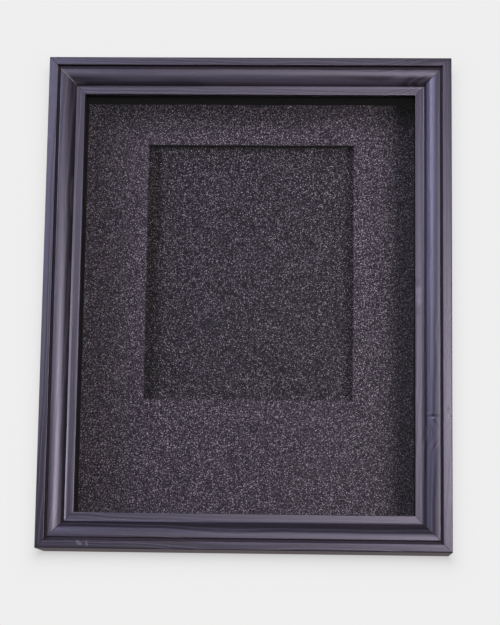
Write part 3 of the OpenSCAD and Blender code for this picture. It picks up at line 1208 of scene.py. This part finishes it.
@dataclass
class Hanger:
    """A strap hanger: a steel strip folded round the bar of a wire D-ring."""

    thick: float = 0.8
    loop_radius: float = 1.78
    loop_degrees: float = 305.0
    rise: float = 2.4
    corner_radius: float = 2.8
    ease: float = 0.12
    wire_radius: float = 0.9
    ring_half: float = 5.28
    ring_arm: float = 5.3
    bend_radius: float = 1.0

    def strap(self, side: str, pivot: Vector, material: Material) -> Object:
        """Models the folded strip.

        Args:
            side: left or right.
            pivot: the middle of the ring's bar.
            material: the plated steel.

        Returns:
            The strap's piece.
        """
        node = f"hanger_strap_{side}"
        low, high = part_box(node)
        across = Vector((1, 0, 0))
        bm = bmesh.new()
        # The face on the wood, and the outside of the fold, as one line
        foot = bm.verts.new((low.x, low.y, low.z))
        knee = bm.verts.new((low.x, low.y, pivot.z - self.rise * MM))
        lap = bm.verts.new((low.x, pivot.y - self.loop_radius * MM, pivot.z))
        join_up(bm, [foot, knee, lap])
        turn_on(bm, [lap], Vector((low.x, pivot.y, pivot.z)), across, -self.loop_degrees, steps=28)
        draw_on(bm, bm.edges[:], across * (high.x - low.x))
        ends = [v for v in bm.verts if abs(v.co.z - low.z) < WELD]
        round_off(bm, ends, self.corner_radius, 6, "VERTICES")
        bmesh.ops.recalc_face_normals(bm, faces=bm.faces)
        plate = min(bm.faces, key=lambda f: f.calc_center_median().z)
        if plate.normal.y > 0:
            bmesh.ops.reverse_faces(bm, faces=bm.faces)
        bmesh.ops.solidify(bm, geom=bm.faces[:], thickness=self.thick * MM)
        ease_edges(bm, self.ease)
        return make_piece(bm, f"{side}_hanger_plate", "frame", [node], [material])

    def ring(self, side: str, pivot: Vector, material: Material) -> Object:
        """Models the wire ring, hanging down from its bar.

        Args:
            side: left or right.
            pivot: the middle of its bar.
            material: the plated steel.

        Returns:
            The ring's piece.
        """
        half, arm, bend = self.ring_half * MM, self.ring_arm * MM, self.bend_radius * MM
        bm = bmesh.new()
        bmesh.ops.create_circle(
            bm, radius=self.wire_radius * MM, segments=18, matrix=Matrix.Rotation(math.pi / 2, 4, "Y")
        )
        # Half of the bar, a bend, an arm, the bow, and back the same way
        loop = draw_on(bm, bm.edges[:], Vector((half - bend, 0, 0)))
        loop = turn_on(bm, loop, Vector((half - bend, 0, -bend)), INWARD, 90, steps=6)
        loop = draw_on(bm, loop, Vector((0, 0, bend - arm)))
        loop = turn_on(bm, loop, Vector((0, 0, -arm)), INWARD, 180, steps=24)
        loop = draw_on(bm, loop, Vector((0, 0, arm - bend)))
        loop = turn_on(bm, loop, Vector((bend - half, 0, -bend)), INWARD, 90, steps=6)
        draw_on(bm, loop, Vector((half - bend, 0, 0)))
        bmesh.ops.translate(bm, verts=bm.verts, vec=pivot)
        node = f"hanger_ring_{side}"
        return make_piece(bm, f"{side}_hanger_wire", f"ring_{side}", [node], [material])


@dataclass
class Fittings:
    """Turn buttons, screws, hangers, corner nails and bumpers on the back."""

    button: TurnButton = field(default_factory=TurnButton)
    screws: PanScrews = field(default_factory=PanScrews)
    hanger: Hanger = field(default_factory=Hanger)
    button_gap: float = 0.1
    nail_wing: float = 4.5
    nail_thick: float = 0.5
    nail_long: float = 10.0
    # The nails' edges stand a little proud of the wood that they were pressed into
    nail_proud: float = 0.08
    # Points of the two nails in a corner, in from the outside of the frame
    nail_points: tuple[float, float] = (8.5, 2.5)
    # A bumper's half section: radius and height
    bumper: Line = (
        (4.5, 0.0), (4.5, 0.4), (4.2, 1.3), (3.6, 2.25), (2.7, 2.95), (1.6, 3.42), (0.7, 3.58), (0.0, 3.6)
    )

    def v_nails(self, material: Material) -> Object:
        """Models the V-shaped nails across the four mitres.

        Args:
            material: the plated steel.

        Returns:
            Their piece.
        """
        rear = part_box("top_rail")[1]
        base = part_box("bottom_rail")[0]
        middle = (rear.z + base.z) / 2
        corner = Vector((rear.x, rear.y + self.nail_proud * MM, rear.z - middle))
        wing = self.nail_wing * MM
        bend = (Vector((-wing, 0, 0)), Vector(), Vector((0, 0, -wing)))
        bm = bmesh.new()
        for inset in self.nail_points:
            point = corner - Vector((inset * MM, 0, inset * MM))
            line = [bm.verts.new(point + off) for off in bend]
            draw_on(bm, join_up(bm, line), Vector((0, -self.nail_long * MM, 0)))
        bmesh.ops.recalc_face_normals(bm, faces=bm.faces)
        bmesh.ops.solidify(bm, geom=bm.faces[:], thickness=self.nail_thick * MM)
        for axis in ("X", "Z"):
            bmesh.ops.mirror(bm, geom=whole(bm), axis=axis, merge_dist=-1)
        bmesh.ops.translate(bm, verts=bm.verts, vec=(0, 0, middle))
        return make_piece(bm, "mitre_nails", "frame", ["corner_v_nails"], [material])

    def bumpers(self, material: Material) -> Object:
        """Models the two rubber bumpers.

        Args:
            material: the rubber.

        Returns:
            Their piece.
        """
        low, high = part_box("wall_bumpers")
        radius = (high.z - low.z) / 2
        bm = bmesh.new()
        for x in (low.x + radius, high.x - radius):
            centre = Vector((x, low.y, low.z + radius))
            line = [bm.verts.new(centre + Vector((r * MM, h * MM, 0))) for r, h in self.bumper]
            turn_on(bm, line + join_up(bm, line), centre, INWARD, 360, steps=32)
        bmesh.ops.remove_doubles(bm, verts=bm.verts, dist=WELD)
        bmesh.ops.holes_fill(bm, edges=open_edges(bm), sides=0)
        return make_piece(bm, "rubber_bumpers", "frame", ["wall_bumpers"], [material])

    def dress(self) -> None:
        """Builds all the fittings."""
        # Bright zinc on pressed steel
        zinc = ZincPlate("steel_zinc_plated").material()
        # Moulded rubber: dull black with a fine bloom
        rubber = Speckled(
            "rubber_moulded", dark="161616", pale="242424", grain_mm=0.7, roughness=0.65
        ).material()
        joints = {joint["name"]: joint for joint in frame["joints"]}
        pivots = []
        for name, joint in joints.items():
            if name.endswith("_turn"):
                self.button.build(joint, zinc)
                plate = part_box("turn_" + joint["child"])[1].y
                x, _, z = joint["pos_m"]
                pivots.append(Vector((x, plate + self.button_gap * MM, z)))
        self.screws.build("pivot_screws", "button_screws", pivots, zinc)
        low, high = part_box("hanger_screws")
        places = []
        for side in ("left", "right"):
            pivot = Vector(joints[f"{side}_ring_swing"]["pos_m"])
            self.hanger.strap(side, pivot, zinc)
            self.hanger.ring(side, pivot, zinc)
            places.append(Vector((pivot.x, high.y - self.screws.head_high * MM, (low.z + high.z) / 2)))
        self.screws.build("strap_screws", "hanger_screws", places, zinc)
        self.v_nails(zinc)
        self.bumpers(rubber)


# Daylight on the rails from either side, and the softer light on the boards
COOL = "e7eeff"
WARM = "fffdf5"
SKY = "f0f1ff"
DUSK = "fffbf7"


def leave_to_camera(sheet: Object) -> None:
    """Leaves a sheet of the stage to the camera's view, out of the light.

    Args:
        sheet: the sheet.
    """
    for rays in ("diffuse", "glossy", "shadow", "transmission"):
        setattr(sheet, f"visible_{rays}", False)


def clear_behind(tree: NodeTree, front: NodeSocket) -> None:
    """Ends a sheet's material: a shader on its front, and clear from behind.

    Args:
        tree: the material's nodes.
        front: the front's shader.
    """
    rear = add_node(tree, "NewGeometry", output="Backfacing")
    clear = add_node(tree, "BsdfTransparent")
    both = add_node(tree, "MixShader", links={0: rear, 1: front, 2: clear})
    fill(tree, tree.nodes["Material Output"], links={"Surface": both})


@dataclass(frozen=True)
class Lamp:
    """A soft box: its direction from the frame in degrees, its size in metres, and its light."""

    name: str
    azimuth: float
    elevation: float
    wide: float
    high: float
    watts: float
    colour: str = "ffffff"
    lit: Lit = Lit.ALL
    distance: float = 1.9

    def place(self, aim: Vector, groups: dict[Lit, Collection]) -> None:
        """Hangs the lamp in the studio.

        Args:
            aim: the point that it faces.
            groups: the objects that lamps of a kind are kept to.
        """
        around, up = math.radians(self.azimuth), math.radians(self.elevation)
        way = Vector((math.sin(around) * math.cos(up), -math.cos(around) * math.cos(up), math.sin(up)))
        data = bpy.data.lights.new(self.name, "AREA")
        data.shape = "RECTANGLE"
        data.size, data.size_y = self.wide, self.high
        data.energy = self.watts
        data.color = linear(self.colour)[:3]
        lamp = bpy.data.objects.new(self.name, data)
        lamp.location = aim + way * self.distance
        lamp.rotation_euler = (-way).to_track_quat("-Z", "Y").to_euler()
        if self.lit in groups:
            lamp.light_linking.receiver_collection = groups[self.lit]
        bpy.context.scene.collection.objects.link(lamp)


@dataclass
class Studio:
    """A pale studio: the camera where the photograph was taken, soft lights, and a floor."""

    # The camera stands a little low and to the right, and looks up with a long lens
    camera_at: Triple = (45.5, -1133.65, -54.6)
    camera_turn: Triple = (99.587, -0.825, 2.089)
    focal_px: float = 2000.0
    picture_tall_px: float = 625.0
    sensor_mm: float = 36.0
    # What it sees, from near to far in metres
    clip: tuple[float, float] = (0.01, 100.0)
    lamps: tuple[Lamp, ...] = (
        # The moulding's satin mirrors a cool window on the left, tall and slanting
        Lamp("left_window", -32, 16, 0.42, 0.42, 10.8, COOL, Lit.RAILS),
        Lamp("left_window_head", -20, 23, 0.42, 0.7, 8.0, COOL, Lit.RAILS),
        Lamp("left_window_foot", -30, 4, 0.5, 0.42, 0.8, COOL, Lit.RAILS),
        Lamp("left_wall", -56, 12, 0.6, 0.6, 6.0, COOL, Lit.RAILS),
        Lamp("left_table", -50, -8, 0.42, 0.42, 2.5, COOL, Lit.RAILS),
        # and a warm one low on the right
        Lamp("right_window", 15, 3, 0.42, 0.42, 11.6, WARM, Lit.RAILS),
        Lamp("right_window_end", 28, 4, 0.42, 0.42, 4.8, WARM, Lit.RAILS),
        Lamp("right_window_head", 20, 16, 1.3, 0.42, 0.8, WARM, Lit.RAILS),
        Lamp("right_table", 50, -8, 0.42, 0.42, 5.0, WARM, Lit.RAILS),
        Lamp("front_wall", 2, 9, 0.55, 0.6, 5.4, WARM, Lit.RAILS),
        # The table throws some light up
        Lamp("table_glow", -8, -38, 1.4, 0.6, 1.0, "fff3ee", Lit.RAILS),
        # The board is lit from both sides, most of it from near by, so that the rails shade its edges
        Lamp("left_box", -50, 30, 0.25, 0.25, 2.0, SKY, Lit.BOARD, 0.6),
        Lamp("left_side_box", -65, 30, 0.25, 0.25, 1.08, SKY, Lit.BOARD, 0.6),
        Lamp("right_box", 28, 4, 0.42, 0.42, 5.0, DUSK, Lit.BOARD),
        Lamp("right_low_box", 42, -8, 0.25, 0.25, 2.0, DUSK, Lit.BOARD, 0.6),
        Lamp("right_high_box", 42, 30, 0.25, 0.25, 1.4, DUSK, Lit.BOARD, 0.6),
        # and the panel in the recess from further round, so that the board shades its edges
        Lamp("left_panel_box", -50, 10, 0.25, 0.25, 1.12, SKY, Lit.PANEL, 0.6),
        Lamp("left_panel_side_box", -65, 10, 0.25, 0.25, 0.74, SKY, Lit.PANEL, 0.6),
        Lamp("left_panel_high_box", -65, 30, 0.25, 0.25, 3.4, SKY, Lit.PANEL, 0.6),
        Lamp("right_panel_box", 42, 10, 0.25, 0.25, 2.45, WARM, Lit.PANEL, 0.6),
        # These light the back
        Lamp("rear_left_box", -150, 25, 1.0, 1.0, 14.0),
        Lamp("rear_right_box", 140, 35, 1.0, 1.0, 20.0),
    )
    aim: Triple = (0.0, -14.0, 141.5)
    # The light of the room in front of the object and of the backdrop behind it, and where the one
    # runs into the other, as the share of a direction that goes to the rear
    room: float = 0.015
    behind: float = 0.25
    turns_rear: tuple[float, float] = (-0.05, 0.25)
    paper: str = "efefef"
    glow: str = "ffeef4"
    # The floor's half size in metres, how far it lies under the object in millimetres, and its paper
    floor_half: float = 5.0
    floor_under: float = 0.2
    floor_body: str = "b4b4b4"
    floor_glow: float = 0.5
    # The floor runs into the backdrop between these distances from the object, in metres
    floor_fades: tuple[float, float] = (0.35, 1.5)
    # The soft shade on the wall round the frame: its rectangle, its depth and how fast it fades
    shade_low: tuple[float, float] = (-119.0, -0.5)
    shade_high: tuple[float, float] = (116.0, 285.0)
    shade_depth: float = 0.32
    shade_fade: float = 4.1
    shade_margin: float = 60.0
    # It begins this far under the frame's edge, and lies this far behind the hangers
    shade_under: float = 14.0
    shade_gap: float = 0.5

    def build(self, boards: dict[Lit, list[Object]]) -> None:
        """Sets up the camera, the lights, the backdrop and the floor.

        Args:
            boards: the objects that have lamps of their own.
        """
        scene = bpy.context.scene
        scene.view_settings.view_transform = "Standard"
        # The glitter's speckle is finer than what the denoiser's own smoothing of the colours keeps
        scene.cycles.denoising_prefilter = "NONE"
        self.camera()
        self.light(boards)
        self.backdrop()
        self.floor()
        self.wall_shadow()

    def camera(self) -> None:
        """Sets up the camera."""
        scene = bpy.context.scene
        data = bpy.data.cameras.new("camera")
        data.sensor_width = self.sensor_mm
        data.lens = self.focal_px / self.picture_tall_px * self.sensor_mm
        data.clip_start, data.clip_end = self.clip
        camera = bpy.data.objects.new("camera", data)
        camera.location = Vector(self.camera_at) * MM
        camera.rotation_euler = Euler([math.radians(a) for a in self.camera_turn])
        scene.collection.objects.link(camera)
        scene.camera = camera

    def light(self, boards: dict[Lit, list[Object]]) -> None:
        """Hangs the lamps, each with the pieces that it lights.

        Args:
            boards: the objects that have lamps of their own.
        """
        groups = {lit: bpy.data.collections.new(f"lit_{lit.value}") for lit in (Lit.RAILS, *boards)}
        for piece in [o for o in bpy.context.scene.objects if o.type == "MESH"]:
            own = [lit for lit, pieces in boards.items() if piece in pieces]
            groups[own[0] if own else Lit.RAILS].objects.link(piece)
        for lamp in self.lamps:
            lamp.place(Vector(self.aim) * MM, groups)

    def backdrop(self) -> None:
        """A pale backdrop behind the object, which lights its back, and a dim room in front of it."""
        world = bpy.data.worlds.new("studio")
        bpy.context.scene.world = world
        world.use_nodes = True
        tree = world.node_tree
        way = add_node(tree, "TexCoord", output="Generated")
        ahead = add_node(tree, "SeparateXYZ", links={"Vector": way}, output="Y")
        seen = tree.nodes["Background"]
        fill(tree, seen, {"Color": linear(self.paper)})
        low, high = self.turns_rear
        reach = {"From Min": low, "From Max": high, "To Min": self.room, "To Max": self.behind}
        depth = add_node(tree, "MapRange", reach, {"Value": ahead})
        unseen = add_node(tree, "Background", {"Color": linear(self.glow)}, {"Strength": depth})
        ray = add_node(tree, "LightPath", output="Is Camera Ray")
        both = add_node(tree, "MixShader", links={0: ray, 1: unseen, 2: seen.outputs[0]})
        fill(tree, tree.nodes["World Output"], links={"Surface": both})

    def floor(self) -> None:
        """A pale floor under the object, which only the camera sees, and only from above."""
        bm = bmesh.new()
        bmesh.ops.create_grid(bm, x_segments=1, y_segments=1, size=self.floor_half)
        bmesh.ops.translate(bm, verts=bm.verts, vec=(0, 0, CAD_BOX[0].z - self.floor_under * MM))
        material = new_material("floor_paper")
        tree = material.node_tree
        shader = tree.nodes["Principled BSDF"]
        # The paper glows a little, so that it stays pale where the lamps don't reach
        fill(tree, shader, {
            "Base Color": linear(self.floor_body), "Roughness": 0.9, "Specular IOR Level": 0.0,
            "Emission Color": linear(self.paper), "Emission Strength": self.floor_glow,
        })
        place = add_node(tree, "TexCoord", output="Object")
        away = add_node(tree, "VectorMath", {"operation": "LENGTH"}, {0: place}, "Value")
        near, far = self.floor_fades
        fades = {"interpolation_type": "SMOOTHSTEP", "From Min": near, "From Max": far}
        fading = add_node(tree, "MapRange", fades, {"Value": away})
        backdrop = add_node(tree, "Emission", {"Color": linear(self.paper)})
        paper = add_node(tree, "MixShader", links={0: fading, 1: shader.outputs[0], 2: backdrop})
        clear_behind(tree, paper)
        floor = add_object(bm, "floor", [material])
        leave_to_camera(floor)

    def shade(self, centre: Triple, half: Vector) -> Material:
        """A filter that darkens what lies behind it, most at a rectangle's edge and less further out.

        Args:
            centre: the rectangle's middle, in metres.
            half: half of its width and of its height, in millimetres.

        Returns:
            The material.
        """
        material = new_material("wall_shade")
        tree = material.node_tree
        tree.nodes.remove(tree.nodes["Principled BSDF"])
        place = add_node(tree, "TexCoord", output="Object")
        off = add_node(tree, "VectorMath", {"operation": "SUBTRACT", 1: centre}, {0: place})
        apart = add_node(tree, "VectorMath", {"operation": "ABSOLUTE"}, {0: off})
        edges = (half.x * MM, 0, half.y * MM)
        past = add_node(tree, "VectorMath", {"operation": "SUBTRACT", 1: edges}, {0: apart})
        outside = add_node(tree, "VectorMath", {"operation": "MAXIMUM", 1: (0, 0, 0)}, {0: past})
        away = add_node(tree, "VectorMath", {"operation": "LENGTH"}, {0: outside}, "Value")
        steps = add_node(
            tree, "Math", {"operation": "MULTIPLY", 1: -1 / (self.shade_fade * MM)}, {0: away}
        )
        fade = add_node(tree, "Math", {"operation": "EXPONENT"}, {0: steps})
        sides = add_node(tree, "SeparateXYZ", links={"Vector": past}).node.outputs
        edge = add_node(tree, "Math", {"operation": "MAXIMUM"}, {0: sides["X"], 1: sides["Z"]})
        open_air = add_node(
            tree, "Math", {"operation": "GREATER_THAN", 1: -self.shade_under * MM}, {0: edge}
        )
        depth = add_node(tree, "Math", {"operation": "MULTIPLY"}, {0: fade, 1: open_air})
        light = add_node(
            tree, "Math", {"operation": "MULTIPLY_ADD", 1: -self.shade_depth, 2: 1.0}, {0: depth}
        )
        clear_behind(tree, add_node(tree, "BsdfTransparent", links={"Color": light}))
        return material

    def wall_shadow(self) -> None:
        """The soft shade that the frame gives the wall behind it, clear from behind."""
        low, high = Vector(self.shade_low), Vector(self.shade_high)
        middle, half = (low + high) / 2, (high - low) / 2
        centre = (middle.x * MM, CAD_BOX[1].y + self.shade_gap * MM, middle.y * MM)
        bm = bmesh.new()
        bmesh.ops.create_grid(bm, x_segments=1, y_segments=1, size=1)
        bmesh.ops.scale(bm, verts=bm.verts, vec=[(h + self.shade_margin) * MM for h in half] + [1])
        bmesh.ops.rotate(bm, verts=bm.verts, matrix=Matrix.Rotation(math.pi / 2, 3, "X"))
        bmesh.ops.translate(bm, verts=bm.verts, vec=centre)
        wall = add_object(bm, "wall_shadow", [self.shade(centre, half)])
        leave_to_camera(wall)


def main() -> None:
    """Builds the frame's pieces in order, dresses them and sets up the studio."""
    logging.basicConfig(level=logging.INFO, format="%(name)s: %(message)s")
    RailFrame().dress()
    boards = Insert().dress()
    Fittings().dress()
    Studio().build(boards)


if __name__ == "__main__":
    main()
